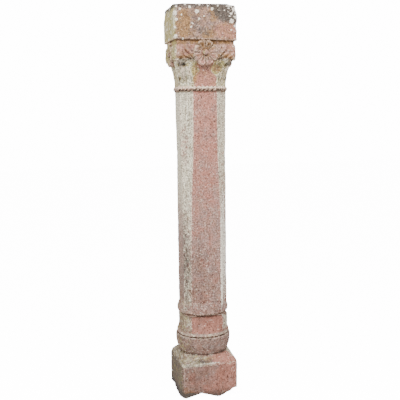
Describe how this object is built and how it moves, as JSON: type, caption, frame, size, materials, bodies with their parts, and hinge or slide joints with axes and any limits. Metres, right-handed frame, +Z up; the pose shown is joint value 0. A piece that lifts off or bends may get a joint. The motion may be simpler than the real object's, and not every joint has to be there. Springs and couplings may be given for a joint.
{
  "type": "carved stone column",
  "caption": "Weathered sandstone column: square plinth, round torus, chamfered square shaft, cable moulding, leaf-covered bell, flowered frieze and a square block on top.",
  "frame": {"origin": "middle of the underside, on the ground", "axes": "+Z up along the column's axis; -Y is the front, the side that faces the camera in the picture"},
  "size_m": [0.329, 0.329, 2],
  "materials": {
    "red_sandstone": "matt, weathered and lichened red sandstone"
  },
  "bodies": {
    "root": {"column": "red_sandstone"}
  },
  "joints": []
}
